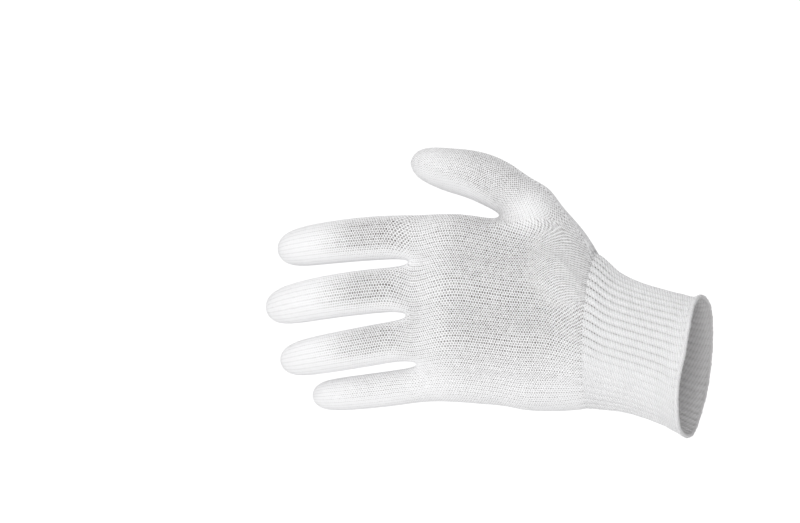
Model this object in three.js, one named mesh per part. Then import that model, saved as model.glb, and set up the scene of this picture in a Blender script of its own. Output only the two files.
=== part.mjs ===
// A fine-knit cotton glove for the left hand, filled out as a hand fills it: four finger stalls, a thumb
// stall, the hand they are joined to, a ribbed cuff and the rolled edge round the cuff's mouth.
// Millimetres. The origin is the middle of the mouth, +X points out of the mouth, the thumb is up (+Z)
// and the back of the hand faces -Y, so the fingers reach towards -X and curl towards +Y.
import * as THREE from "three";

// Driving dimensions
const KNIT_WALL = 1.2; // plain knit of the hand and the digits
const CUFF_WALL = 1.7; // rib knit, without the height of its ribs
const JOIN_GAP = 0.3; // between two pieces that are knitted together
const HAND_LENGTH = 90; // cuff join to the finger roots, along the middle of the hand
const HAND_RISE = 30; // the hand's middle line above the middle of the mouth
const PALM_DEPTH = 32; // back to palm, just behind the knuckles
const WRIST_BREADTH = 80; // thumb side to little finger side at the cuff join
const WRIST_DEPTH = 46;
const WEB_GAP = 2.3; // between two neighbouring finger roots
const THENAR_RISE = 7; // the pad at the root of the thumb, on the palm
const HEEL_RISE = 3; // the pad on the little finger's side of the palm
const PALM_HOLLOW = 2.5; // the dip between the two pads
const CUFF_LENGTH = 54.6;
const MOUTH_BREADTH = 71;
const MOUTH_DEPTH = 54;
const RIB_COUNT = 46;
const RIB_HEIGHT = 0.9;
const EDGE_BEAD = 3.4; // thickness of the rolled edge
const THUMB_LENGTH = 72; // middle of the thumb's root to its tip
const THUMB_BREADTH = 24.5;
const THUMB_DEPTH = 23;

// The four fingers, from the thumb's side down. reach is where the root lies, as a share of HAND_LENGTH
// from the cuff join, and arch is how far the root stands towards the palm, as a share of PALM_DEPTH.
// sink and tipSink are the degrees that the finger points below level at its root and at its tip.
const FINGERS = [
  { name: "index", length: 84, breadth: 23.6, depth: 21.5, reach: 1.065, arch: 0, sink: 1, tipSink: 9 },
  { name: "middle", length: 87, breadth: 24, depth: 21.5, reach: 1.11, arch: -0.03, sink: 3, tipSink: 12 },
  { name: "ring", length: 80, breadth: 21.8, depth: 20.5, reach: 1.095, arch: 0, sink: 10, tipSink: 9 },
  { name: "little", length: 69, breadth: 18.8, depth: 17.5, reach: 1.01, arch: 0.08, sink: 9, tipSink: 4 },
];
const nodeOf = (finger) => `${finger.name}_finger`;

// Sections of a finger: at is a share of its length, broad and deep are shares of its own breadth and
// depth, and curl is the way it points there, in degrees towards the palm.
const FINGER_SECTIONS = [
  { at: 0.0, broad: 1.04, deep: 1.13, curl: 2 },
  { at: 0.1, broad: 1.0, deep: 1.05, curl: 4 },
  { at: 0.24, broad: 0.98, deep: 1.0, curl: 7 },
  { at: 0.38, broad: 0.97, deep: 0.98, curl: 10 },
  { at: 0.52, broad: 0.955, deep: 0.95, curl: 14 },
  { at: 0.66, broad: 0.93, deep: 0.91, curl: 18 },
  { at: 0.78, broad: 0.89, deep: 0.85, curl: 22 },
  { at: 0.88, broad: 0.8, deep: 0.75, curl: 25 },
  { at: 0.95, broad: 0.62, deep: 0.57, curl: 27 },
  { at: 0.987, broad: 0.34, deep: 0.31, curl: 28 },
];

// Sections of the thumb. out, up and palm are its middle as shares of THUMB_LENGTH from the middle of
// its root, lean turns the section's top towards the cuff, and the last row is the tip.
const THUMB_SECTIONS = [
  { out: 0.09, up: 0.07, palm: 0.05, lean: 62, broad: 1.14, deep: 1.36 },
  { out: 0.22, up: 0.145, palm: 0.1, lean: 43, broad: 1.02, deep: 1.14 },
  { out: 0.375, up: 0.235, palm: 0.15, lean: 27, broad: 1.08, deep: 1.05 },
  { out: 0.55, up: 0.295, palm: 0.195, lean: 16, broad: 1.03, deep: 1.0 },
  { out: 0.72, up: 0.32, palm: 0.225, lean: 9, broad: 0.94, deep: 0.92 },
  { out: 0.88, up: 0.355, palm: 0.245, lean: 4, broad: 0.8, deep: 0.79 },
  { out: 0.98, up: 0.37, palm: 0.255, lean: 2, broad: 0.55, deep: 0.55 },
];
const THUMB_TIP = { out: 1.035, up: 0.375, palm: 0.258 };

// Sections of the sleeve that the cuff and the hand share. at is a share of CUFF_LENGTH or HAND_LENGTH,
// rise a share of HAND_RISE, and broad and deep shares of the sizes that the row's own piece names.
const CUFF_SECTIONS = [
  { at: 0.0, rise: 0.0, lean: 5.8, broad: 1.0, deep: 1.0, of: "mouth" },
  { at: 0.08, rise: 0.02, lean: 6.2, broad: 0.965, deep: 0.97, of: "mouth" },
  { at: 0.214, rise: 0.105, lean: 6.7, broad: 0.95, deep: 0.94, of: "mouth" },
  { at: 0.414, rise: 0.215, lean: 6.8, broad: 0.935, deep: 0.89, of: "mouth" },
  { at: 0.614, rise: 0.32, lean: 5.8, broad: 0.835, deep: 1.03, of: "wrist" },
  { at: 0.81, rise: 0.43, lean: 5.0, broad: 0.885, deep: 1.0, of: "wrist" },
  { at: 1.0, rise: 0.595, lean: 3.0, broad: 1.0, deep: 1.0, of: "wrist" },
];
const HAND_SECTIONS = [
  { at: 0.081, rise: 0.77, lean: 3.3, broad: 0.935, deep: 1.42, of: "palm" },
  { at: 0.173, rise: 0.95, lean: 3.5, broad: 1.06, deep: 1.41, of: "palm" },
  { at: 0.269, rise: 0.973, lean: 3.2, broad: 1.07, deep: 1.37, of: "palm" },
  { at: 0.364, rise: 0.943, lean: 3.0, broad: 1.048, deep: 1.31, of: "palm" },
  { at: 0.454, rise: 0.92, lean: 2.8, broad: 1.0, deep: 1.24, of: "palm" },
  { at: 0.541, rise: 0.93, lean: 2.3, broad: 0.983, deep: 1.16, of: "palm" },
  { at: 0.633, rise: 0.937, lean: 0.9, broad: 0.98, deep: 1.08, of: "palm" },
  { at: 0.729, rise: 0.977, lean: 0.0, broad: 0.989, deep: 1.0, of: "palm" },
  { at: 0.824, rise: 1.0, lean: -0.9, broad: 0.997, deep: 0.93, of: "palm" },
  { at: 0.913, rise: 1.0, lean: -2.5, broad: 0.997, deep: 0.86, of: "palm" },
];

// How the skin is divided into panels
const BACK_PANELS = 6; // across a finger's back, and across its palm side
const WEB_PANELS = 2; // round a finger's side that faces a neighbour
const SIDE_PANELS = 4; // round the free side of the index and the little finger
const THUMB_HOLE = { first: 2, last: 6, beside: 1 }; // hand sections it spans, panels past the free side
const RIB_PANELS = 2; // from groove to crest to groove
const CUFF_RINGS = 9;
const HAND_SQUARENESS = 2.35; // 2 is an ellipse, and more is squarer
const SMOOTHING_PASSES = 7;

const radians = THREE.MathUtils.degToRad;
const fingerRoots = FINGERS.map((f) => f.breadth * FINGER_SECTIONS[0].broad);
const KNUCKLE_BREADTH = fingerRoots.reduce((sum, b) => sum + b, (FINGERS.length - 1) * WEB_GAP);
const SIZES = {
  mouth: { breadth: MOUTH_BREADTH, depth: MOUTH_DEPTH },
  wrist: { breadth: WRIST_BREADTH, depth: WRIST_DEPTH },
  palm: { breadth: KNUCKLE_BREADTH, depth: PALM_DEPTH },
};

// A sleeve section in millimetres: how far from the mouth, its middle's height, half sizes and lean.
function sleeveSection(row, start, length) {
  const size = SIZES[row.of];
  return {
    from: start + row.at * length,
    rise: row.rise * HAND_RISE,
    lean: radians(row.lean),
    halfBreadth: (row.broad * size.breadth) / 2,
    halfDepth: (row.deep * size.depth) / 2,
  };
}
const cuffSections = CUFF_SECTIONS.map((row) => sleeveSection(row, 0, CUFF_LENGTH));
const handSections = [
  cuffSections.at(-1),
  ...HAND_SECTIONS.map((row) => sleeveSection(row, CUFF_LENGTH, HAND_LENGTH)),
];

// The value between neighbours b and c, a share t of the way, on a smooth curve through a, b, c and d.
function smoothStep4(a, b, c, d, t) {
  const bend = 2 * a - 5 * b + 4 * c - d + t * (3 * (b - c) + d - a);
  return b + 0.5 * t * (c - a + t * bend);
}

// The cuff's section a share t of the way from the mouth to the join.
function cuffAt(t) {
  const last = cuffSections.length - 1;
  const from = t * CUFF_LENGTH;
  let i = 0;
  while (i < last - 1 && cuffSections[i + 1].from < from) i += 1;
  const near = [i - 1, i, i + 1, i + 2].map((k) => cuffSections[Math.min(Math.max(k, 0), last)]);
  const share = (from - near[1].from) / (near[2].from - near[1].from);
  const made = { from };
  for (const key of ["rise", "lean", "halfBreadth", "halfDepth"])
    made[key] = smoothStep4(...near.map((s) => s[key]), share);
  return made;
}

// A point of a sleeve section: turn 0 is the thumb's side and a quarter turn the back of the hand.
function sleevePoint(section, turn, grow = 0, squareness = 2) {
  const power = (v) => Math.sign(v) * Math.abs(v) ** (2 / squareness);
  const across = (section.halfBreadth + grow) * power(Math.cos(turn));
  const back = (section.halfDepth + grow) * power(Math.sin(turn));
  return new THREE.Vector3(
    -section.from + across * Math.sin(section.lean),
    -back,
    section.rise + across * Math.cos(section.lean),
  );
}

// The skin is one set of points, and panels of three or four of them, each named for its piece.
const points = [];
const softness = [];
const panels = [];
function addPoint(p, soft = 0) {
  points.push(p);
  softness.push(soft);
  return points.length - 1;
}
function addPanel(piece, ...corners) {
  panels.push({ piece, corners });
}
// Panels between two rings of the same number of points, where the second lies further out.
function joinRings(piece, inner, outer, skip = () => false) {
  inner.forEach((p, k) => {
    const next = (k + 1) % inner.length;
    if (!skip(k)) addPanel(piece, p, outer[k], outer[next], inner[next]);
  });
}

// A ring of points round a digit: turn 0 is its upper side, and it goes round by way of the back.
function digitRing(middle, up, back, halfBreadth, halfDepth, firstTurn, count, soft) {
  return Array.from({ length: count }, (_, k) => {
    const turn = firstTurn + (k * 2 * Math.PI) / count;
    const p = middle.clone().addScaledVector(up, halfBreadth * Math.cos(turn));
    return addPoint(p.addScaledVector(back, halfDepth * Math.sin(turn)), soft);
  });
}
function closeTip(piece, ring, tip) {
  const end = addPoint(tip);
  ring.forEach((p, k) => addPanel(piece, p, end, ring[(k + 1) % ring.length]));
}

// A finger stall from its root to its tip. Returns the root's points by side.
function addFinger(finger, index, rootMiddle) {
  const upperPanels = index === 0 ? SIDE_PANELS : WEB_PANELS;
  const lowerPanels = index === FINGERS.length - 1 ? SIDE_PANELS : WEB_PANELS;
  const count = 2 * BACK_PANELS + upperPanels + lowerPanels;
  const firstTurn = (upperPanels / 2) * ((2 * Math.PI) / count);
  const middle = rootMiddle.clone();
  let below = null;
  let root = null;
  let way = null;
  FINGER_SECTIONS.forEach((row, i) => {
    const sink = radians(THREE.MathUtils.lerp(finger.sink, finger.tipSink, row.at));
    const curl = radians(row.curl);
    way = new THREE.Vector3(
      -Math.cos(curl) * Math.cos(sink),
      Math.sin(curl),
      -Math.cos(curl) * Math.sin(sink),
    );
    const step = i === 0 ? 0 : row.at - FINGER_SECTIONS[i - 1].at;
    middle.addScaledVector(way, step * finger.length);
    const up = new THREE.Vector3(-Math.sin(sink), 0, Math.cos(sink));
    const back = up.clone().cross(way);
    const halfBreadth = (row.broad * finger.breadth) / 2;
    const halfDepth = (row.deep * finger.depth) / 2;
    const soft = i === 0 ? 1 : i === 1 ? 0.35 : 0;
    const ring = digitRing(middle, up, back, halfBreadth, halfDepth, firstTurn, count, soft);
    if (below) joinRings(nodeOf(finger), below, ring);
    root = root || ring;
    below = ring;
  });
  middle.addScaledVector(way, (1 - FINGER_SECTIONS.at(-1).at) * finger.length);
  closeTip(nodeOf(finger), below, middle);
  const lower = BACK_PANELS + lowerPanels;
  return {
    back: root.slice(0, BACK_PANELS + 1),
    lowerSide: root.slice(BACK_PANELS + 1, lower),
    palm: root.slice(lower, lower + BACK_PANELS + 1),
    upperSide: root.slice(lower + BACK_PANELS + 1),
  };
}

// The four fingers, stacked from the thumb's side down with WEB_GAP between their roots.
function addFingers() {
  let top = HAND_RISE + KNUCKLE_BREADTH / 2;
  return FINGERS.map((finger, i) => {
    const x = -CUFF_LENGTH - finger.reach * HAND_LENGTH;
    const middle = new THREE.Vector3(x, finger.arch * PALM_DEPTH, top - fingerRoots[i] / 2);
    top -= fingerRoots[i] + WEB_GAP;
    return addFinger(finger, i, middle);
  });
}

// The strips of the hand between neighbouring finger roots, from the back over to the palm.
function addWebs(roots) {
  roots.slice(1).forEach((lower, i) => {
    const upper = roots[i];
    const above = [upper.back.at(-1), ...upper.lowerSide, upper.palm[0]];
    const below = [lower.back[0], ...[...lower.upperSide].reverse(), lower.palm.at(-1)];
    for (let k = 1; k < above.length; k += 1)
      addPanel("hand", above[k - 1], above[k], below[k], below[k - 1]);
  });
}

// How far the palm side stands out at a section: two pads and the hollow between them.
function palmRelief(turn, at) {
  const height = Math.cos(turn);
  const facing = Math.max(0, -Math.sin(turn));
  const bump = (x, middle, width) => Math.exp(-(((x - middle) / width) ** 2));
  const thenar = THENAR_RISE * bump(height, 0.5, 0.4) * bump(at, 0.3, 0.28);
  const heel = HEEL_RISE * bump(height, -0.6, 0.35) * bump(at, 0.35, 0.3);
  const hollow = PALM_HOLLOW * bump(height, -0.05, 0.35) * bump(at, 0.55, 0.3);
  return facing * (thenar + heel - hollow);
}

// The hand: rings from the cuff join to the knuckles, with a hole on the thumb's side.
function addHand(roots) {
  const knuckles = [
    ...roots.flatMap((r) => r.back),
    ...roots.at(-1).lowerSide,
    ...[...roots].reverse().flatMap((r) => r.palm),
    ...roots[0].upperSide,
  ];
  const backCount = FINGERS.length * (BACK_PANELS + 1);
  const sideCount = SIDE_PANELS - 1;
  const widest = handSections.at(-1).halfBreadth;
  const heights = knuckles.map((p) => (points[p].z - HAND_RISE) / widest);
  const near = SIDE_PANELS / 2 + THUMB_HOLE.beside;
  const rings = handSections.map((section, i) => {
    const at = (section.from - CUFF_LENGTH) / HAND_LENGTH;
    const beforeKnuckles = handSections.length - 1 - i;
    const toKnuckles = beforeKnuckles === 0 ? 0.45 : beforeKnuckles === 1 ? 0.15 : 0;
    const squareness = 2 + (HAND_SQUARENESS - 2) * Math.min(1, at / 0.3);
    const byHole = i >= THUMB_HOLE.first - 1 && i <= THUMB_HOLE.last + 1;
    const onRim = i >= THUMB_HOLE.first && i <= THUMB_HOLE.last;
    const turnAt = (k) => Math.acos(Math.sign(heights[k]) * Math.abs(heights[k]) ** (squareness / 2));
    const backEnd = turnAt(backCount - 1);
    const palmStart = 2 * Math.PI - turnAt(backCount + sideCount);
    const palmEnd = -turnAt(knuckles.length - 1 - sideCount);
    return knuckles.map((knuckle, k) => {
      const pastBack = k - (backCount - 1);
      const pastPalm = k - (knuckles.length - 1 - sideCount);
      let turn = pastBack <= 0 ? turnAt(k) : -turnAt(k);
      if (pastBack > 0 && pastBack <= sideCount)
        turn = backEnd + ((palmStart - backEnd) * pastBack) / SIDE_PANELS;
      if (pastPalm > 0) turn = palmEnd + ((turnAt(0) - palmEnd) * pastPalm) / SIDE_PANELS;
      const p = sleevePoint(section, turn, 0, squareness);
      p.y += palmRelief(turn, at);
      p.y += toKnuckles * (points[knuckle].y - p.y);
      const fromSide = (k + SIDE_PANELS / 2) % knuckles.length;
      const past = Math.min(fromSide, knuckles.length - fromSide) - near;
      let soft = toKnuckles;
      if (onRim && past <= 0) soft = 0.8;
      if (byHole && past > 0 && past < 4) soft = 0.4;
      return addPoint(p, soft);
    });
  });
  rings.push(knuckles);
  return rings;
}

const roots = addFingers();
addWebs(roots);
const handRings = addHand(roots);

// The ring of points round the thumb's hole, from the palm side of its rear edge by way of the back.
const around = handRings[0].length;
const backEdge = THUMB_HOLE.beside;
const palmEdge = around - SIDE_PANELS - THUMB_HOLE.beside;
const holeWidth = SIDE_PANELS + 2 * THUMB_HOLE.beside;
const holePanel = (k) => (k - palmEdge + around) % around < holeWidth;
const acrossHole = Array.from({ length: holeWidth + 1 }, (_, k) => (palmEdge + k) % around);
const betweenEdges = [];
for (let i = THUMB_HOLE.first + 1; i < THUMB_HOLE.last; i += 1) betweenEdges.push(i);
const thumbRoot = [
  ...acrossHole.map((k) => handRings[THUMB_HOLE.first][k]),
  ...betweenEdges.map((i) => handRings[i][backEdge]),
  ...[...acrossHole].reverse().map((k) => handRings[THUMB_HOLE.last][k]),
  ...[...betweenEdges].reverse().map((i) => handRings[i][palmEdge]),
];

handRings.slice(1).forEach((ring, i) => {
  const spans = i >= THUMB_HOLE.first && i < THUMB_HOLE.last;
  joinRings("hand", handRings[i], ring, (k) => spans && holePanel(k));
});

function addThumb(root) {
  const rear = points[root[holeWidth / 2]];
  const front = points[root[holeWidth + betweenEdges.length + 1 + holeWidth / 2]];
  const middle = rear.clone().add(front).multiplyScalar(0.5);
  const place = (row) =>
    new THREE.Vector3(-row.out, row.palm, row.up).multiplyScalar(THUMB_LENGTH).add(middle);
  const firstTurn = -(holeWidth / 2) * ((2 * Math.PI) / root.length);
  let below = root;
  THUMB_SECTIONS.forEach((row, i) => {
    const lean = radians(row.lean);
    const up = new THREE.Vector3(Math.sin(lean), 0, Math.cos(lean));
    const back = new THREE.Vector3(0, -1, 0);
    const halfBreadth = (row.broad * THUMB_BREADTH) / 2;
    const halfDepth = (row.deep * THUMB_DEPTH) / 2;
    const soft = i === 0 ? 0.5 : 0;
    const ring = digitRing(place(row), up, back, halfBreadth, halfDepth, firstTurn, root.length, soft);
    joinRings("thumb", below, ring);
    below = ring;
  });
  closeTip("thumb", below, place(THUMB_TIP));
}
addThumb(thumbRoot);

// Each soft point moves towards the middle of its neighbours, so that the digits run into the hand.
function relaxSkin() {
  const neighbours = points.map(() => new Set());
  for (const { corners } of panels)
    corners.forEach((p, k) => {
      const next = corners[(k + 1) % corners.length];
      neighbours[p].add(next);
      neighbours[next].add(p);
    });
  for (let pass = 0; pass < SMOOTHING_PASSES; pass += 1) {
    const moved = points.map((p, i) => {
      if (!softness[i]) return p;
      const mean = new THREE.Vector3();
      neighbours[i].forEach((n) => mean.add(points[n]));
      mean.divideScalar(neighbours[i].size);
      return p.clone().lerp(mean, softness[i] * 0.5);
    });
    moved.forEach((p, i) => points[i].copy(p));
  }
}
relaxSkin();

// The way out of the skin at each point, from the panels that meet there.
function outwardDirections() {
  const out = points.map(() => new THREE.Vector3());
  for (const { corners } of panels) {
    const [a, b, c, d = c] = corners.map((p) => points[p]);
    const facing = c.clone().sub(a).cross(d.clone().sub(b));
    if (corners.length === 3) facing.copy(b.clone().sub(a).cross(c.clone().sub(a)));
    corners.forEach((p) => out[p].add(facing));
  }
  return out.map((v) => v.normalize());
}

// A closed wall from one piece's share of the skin: outside, inside, and a rim wherever it is open.
function wallOf(piece, outward) {
  const own = panels.filter((panel) => panel.piece === piece);
  const edges = new Map();
  const pull = new Map();
  for (const { corners } of own) {
    const centre = new THREE.Vector3();
    corners.forEach((p) => centre.addScaledVector(points[p], 1 / corners.length));
    corners.forEach((p, k) => {
      const next = corners[(k + 1) % corners.length];
      if (!edges.delete(`${next} ${p}`)) edges.set(`${p} ${next}`, [p, next]);
      if (!pull.has(p)) pull.set(p, new THREE.Vector3());
      pull.get(p).add(centre.clone().sub(points[p]));
    });
  }
  // At an open rim, each point draws back into its own piece by half of the gap.
  const shift = new Map();
  for (const [a, b] of edges.values())
    for (const [p, other] of [[a, b], [b, a]]) {
      const along = points[other].clone().sub(points[p]).normalize();
      const inward = shift.get(p) || pull.get(p).clone();
      shift.set(p, inward.addScaledVector(along, -inward.dot(along)));
    }
  for (const v of shift.values()) v.normalize().multiplyScalar(JOIN_GAP / 2);
  const outside = (p) => points[p].clone().add(shift.get(p) || new THREE.Vector3());
  const inside = (p) => outside(p).addScaledVector(outward[p], -KNIT_WALL);
  const faces = [];
  for (const { corners } of own) {
    faces.push(corners.map(outside));
    faces.push([...corners].reverse().map(inside));
  }
  for (const [a, b] of edges.values()) faces.push([outside(b), outside(a), inside(a), inside(b)]);
  return faces;
}

// Faces of three or four corners to one geometry, with each four-cornered face cut at its short way.
function geometryOf(faces) {
  const flat = [];
  for (const [a, b, c, d] of faces) {
    if (!d) flat.push(a, b, c);
    else if (a.distanceTo(c) <= b.distanceTo(d)) flat.push(a, b, c, a, c, d);
    else flat.push(a, b, d, b, c, d);
  }
  const geometry = new THREE.BufferGeometry().setFromPoints(flat);
  geometry.computeVertexNormals();
  return geometry;
}

// Turns round a section that lie the same distance apart along its outline.
function evenTurns(section, count) {
  const samples = 720;
  const lengths = [0];
  for (let i = 1; i <= samples; i += 1) {
    const [a, b] = [i - 1, i].map((k) => sleevePoint(section, (k * 2 * Math.PI) / samples));
    lengths.push(lengths[i - 1] + a.distanceTo(b));
  }
  let i = 0;
  return Array.from({ length: count }, (_, k) => {
    const wanted = (k / count) * lengths[samples];
    while (lengths[i + 1] < wanted) i += 1;
    const share = (wanted - lengths[i]) / (lengths[i + 1] - lengths[i]);
    return ((i + share) * 2 * Math.PI) / samples;
  });
}

// The ribbed cuff, whose ribs run from the rolled edge to the join and fade just before it.
function cuffGeometry() {
  const count = RIB_COUNT * RIB_PANELS;
  const start = (EDGE_BEAD / 2 + JOIN_GAP) / CUFF_LENGTH;
  const end = 1 - JOIN_GAP / 2 / CUFF_LENGTH;
  const rings = Array.from({ length: CUFF_RINGS }, (_, i) => {
    const t = start + ((end - start) * i) / (CUFF_RINGS - 1);
    const section = cuffAt(t);
    const turns = evenTurns(section, count);
    const fade = i === CUFF_RINGS - 1 ? 0.5 : 1;
    return turns.map((turn, k) => {
      const crest = (fade * RIB_HEIGHT * (k % RIB_PANELS ? 1 : -1)) / 2;
      return {
        outside: sleevePoint(section, turn, crest),
        inside: sleevePoint(section, turn, -CUFF_WALL + crest / 2),
      };
    });
  });
  const faces = [];
  for (let k = 0; k < count; k += 1) {
    const next = (k + 1) % count;
    for (let i = 1; i < rings.length; i += 1) {
      const [a, b] = [rings[i - 1], rings[i]];
      faces.push([a[k].outside, b[k].outside, b[next].outside, a[next].outside]);
      faces.push([a[next].inside, b[next].inside, b[k].inside, a[k].inside]);
    }
    const [mouth, join] = [rings[0], rings.at(-1)];
    faces.push([mouth[next].outside, mouth[next].inside, mouth[k].inside, mouth[k].outside]);
    faces.push([join[k].outside, join[k].inside, join[next].inside, join[next].outside]);
  }
  return geometryOf(faces);
}

// The rolled edge: a round bead that runs once round the mouth, a little proud of the cuff.
function edgeGeometry() {
  const section = cuffAt(0);
  const turns = evenTurns(section, RIB_COUNT);
  const sides = 8;
  const rings = turns.map((turn) =>
    Array.from({ length: sides }, (_, k) => {
      const roll = ((k + 0.5) * 2 * Math.PI) / sides;
      const p = sleevePoint(section, turn, (Math.cos(roll) * EDGE_BEAD) / 2 - CUFF_WALL / 2);
      p.x += (Math.sin(roll) * EDGE_BEAD) / 2;
      return p;
    }),
  );
  const faces = [];
  rings.forEach((ring, i) => {
    const next = rings[(i + 1) % rings.length];
    ring.forEach((p, k) => {
      const up = (k + 1) % sides;
      faces.push([p, next[k], next[up], ring[up]]);
    });
  });
  return geometryOf(faces);
}

const plainKnit = new THREE.MeshStandardMaterial({ color: 0xf2f2f2, roughness: 0.9, metalness: 0 });
const ribKnit = new THREE.MeshStandardMaterial({ color: 0xf0f0f1, roughness: 0.9, metalness: 0 });
const rolledKnit = new THREE.MeshStandardMaterial({ color: 0xe9e9ea, roughness: 0.95, metalness: 0 });

const glove = new THREE.Group();
function addPiece(name, geometry, material) {
  const mesh = new THREE.Mesh(geometry, material);
  mesh.name = name;
  glove.add(mesh);
}
const outward = outwardDirections();
for (const piece of ["hand", ...FINGERS.map(nodeOf), "thumb"])
  addPiece(piece, geometryOf(wallOf(piece, outward)), plainKnit);
addPiece("rib_cuff", cuffGeometry(), ribKnit);
addPiece("cuff_edge", edgeGeometry(), rolledKnit);

export default glove;
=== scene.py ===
# A fine-knit cotton glove for the left hand, standing filled out as if it were worn.
# The frame is in metres: +X out of the mouth, +Z up to the thumb, and the back of the hand faces -Y.
import math

import bpy
import numpy as np
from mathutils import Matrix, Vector


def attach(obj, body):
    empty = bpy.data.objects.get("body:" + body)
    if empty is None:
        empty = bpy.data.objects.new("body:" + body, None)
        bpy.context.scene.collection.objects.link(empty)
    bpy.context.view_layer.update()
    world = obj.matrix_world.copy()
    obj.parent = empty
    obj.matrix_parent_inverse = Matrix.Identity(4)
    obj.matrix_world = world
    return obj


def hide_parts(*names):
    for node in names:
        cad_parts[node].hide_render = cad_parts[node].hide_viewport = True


bl_info = {
    "name": "Knitted cotton glove",
    "version": (1, 0, 0),
    "blender": (4, 5, 0),
    "location": "3D View > Sidebar > Glove",
    "description": "Builds a fine-knit cotton glove with a ribbed cuff, over its CAD frame",
    "category": "Object",
}

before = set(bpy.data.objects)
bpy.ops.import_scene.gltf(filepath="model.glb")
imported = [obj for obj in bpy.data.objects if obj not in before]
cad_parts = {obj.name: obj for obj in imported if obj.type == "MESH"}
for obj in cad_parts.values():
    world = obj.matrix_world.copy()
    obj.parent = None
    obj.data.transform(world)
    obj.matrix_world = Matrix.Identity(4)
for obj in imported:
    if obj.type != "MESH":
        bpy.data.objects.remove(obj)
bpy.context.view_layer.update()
MM = 0.001


def srgb(code):
    """A hex colour as linear red, green and blue."""
    parts = [int(code[i : i + 2], 16) / 255 for i in (1, 3, 5)]
    return [c / 12.92 if c <= 0.04045 else ((c + 0.055) / 1.055) ** 2.4 for c in parts]


# The glove's own sizes, in millimetres
HAND_LENGTH = 90
HAND_RISE = 30
PALM_DEPTH = 32
WRIST_BREADTH = 80
WRIST_DEPTH = 46
WEB_GAP = 2.3
THENAR_RISE = 7
HEEL_RISE = 3
PALM_HOLLOW = 2.5
CUFF_LENGTH = 54.6
MOUTH_BREADTH = 71
MOUTH_DEPTH = 54
THUMB_LENGTH = 72
THUMB_BREADTH = 24.5
THUMB_DEPTH = 23

# The fingers, from the thumb's side down: reach and arch place the root, as shares of HAND_LENGTH and
# PALM_DEPTH, and sink and tip_sink are the degrees that it points below level at its two ends.
FINGERS = [
    dict(name="index_finger", length=84, breadth=23.6, depth=21.5, reach=1.065, arch=0, sink=1, tip_sink=9),
    dict(name="middle_finger", length=87, breadth=24, depth=21.5, reach=1.11, arch=-0.03, sink=3, tip_sink=12),
    dict(name="ring_finger", length=80, breadth=21.8, depth=20.5, reach=1.095, arch=0, sink=10, tip_sink=9),
    dict(name="little_finger", length=69, breadth=18.8, depth=17.5, reach=1.01, arch=0.08, sink=9, tip_sink=4),
]
# Sections of a finger, as shares of its length, breadth and depth, with its curl in degrees
FINGER_SECTIONS = [
    dict(at=0.0, broad=1.04, deep=1.13, curl=2),
    dict(at=0.1, broad=1.0, deep=1.05, curl=4),
    dict(at=0.24, broad=0.98, deep=1.0, curl=7),
    dict(at=0.38, broad=0.97, deep=0.98, curl=10),
    dict(at=0.52, broad=0.955, deep=0.95, curl=14),
    dict(at=0.66, broad=0.93, deep=0.91, curl=18),
    dict(at=0.78, broad=0.89, deep=0.85, curl=22),
    dict(at=0.88, broad=0.8, deep=0.75, curl=25),
    dict(at=0.95, broad=0.62, deep=0.57, curl=27),
    dict(at=0.987, broad=0.34, deep=0.31, curl=28),
]
# Sections of the thumb, placed from the middle of its root in shares of THUMB_LENGTH
THUMB_SECTIONS = [
    dict(out=0.09, up=0.07, palm=0.05, lean=62, broad=1.14, deep=1.36),
    dict(out=0.22, up=0.145, palm=0.1, lean=43, broad=1.02, deep=1.14),
    dict(out=0.375, up=0.235, palm=0.15, lean=27, broad=1.08, deep=1.05),
    dict(out=0.55, up=0.295, palm=0.195, lean=16, broad=1.03, deep=1.0),
    dict(out=0.72, up=0.32, palm=0.225, lean=9, broad=0.94, deep=0.92),
    dict(out=0.88, up=0.355, palm=0.245, lean=4, broad=0.8, deep=0.79),
    dict(out=0.98, up=0.37, palm=0.255, lean=2, broad=0.55, deep=0.55),
]
THUMB_TIP = dict(out=1.035, up=0.375, palm=0.258)
# Sections of the cuff and of the hand: at is a share of the piece's length and rise of HAND_RISE
CUFF_SECTIONS = [
    dict(at=0.0, rise=0.0, lean=5.8, broad=1.0, deep=1.0, of="mouth"),
    dict(at=0.08, rise=0.02, lean=6.2, broad=0.965, deep=0.97, of="mouth"),
    dict(at=0.214, rise=0.105, lean=6.7, broad=0.95, deep=0.94, of="mouth"),
    dict(at=0.414, rise=0.215, lean=6.8, broad=0.935, deep=0.89, of="mouth"),
    dict(at=0.614, rise=0.32, lean=5.8, broad=0.835, deep=1.03, of="wrist"),
    dict(at=0.81, rise=0.43, lean=5.0, broad=0.885, deep=1.0, of="wrist"),
    dict(at=1.0, rise=0.595, lean=3.0, broad=1.0, deep=1.0, of="wrist"),
]
HAND_SECTIONS = [
    dict(at=0.081, rise=0.77, lean=3.3, broad=0.935, deep=1.42, of="palm"),
    dict(at=0.173, rise=0.95, lean=3.5, broad=1.06, deep=1.41, of="palm"),
    dict(at=0.269, rise=0.973, lean=3.2, broad=1.07, deep=1.37, of="palm"),
    dict(at=0.364, rise=0.943, lean=3.0, broad=1.048, deep=1.31, of="palm"),
    dict(at=0.454, rise=0.92, lean=2.8, broad=1.0, deep=1.24, of="palm"),
    dict(at=0.541, rise=0.93, lean=2.3, broad=0.983, deep=1.16, of="palm"),
    dict(at=0.633, rise=0.937, lean=0.9, broad=0.98, deep=1.08, of="palm"),
    dict(at=0.729, rise=0.977, lean=0.0, broad=0.989, deep=1.0, of="palm"),
    dict(at=0.824, rise=1.0, lean=-0.9, broad=0.997, deep=0.93, of="palm"),
    dict(at=0.913, rise=1.0, lean=-2.5, broad=0.997, deep=0.86, of="palm"),
]

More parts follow.
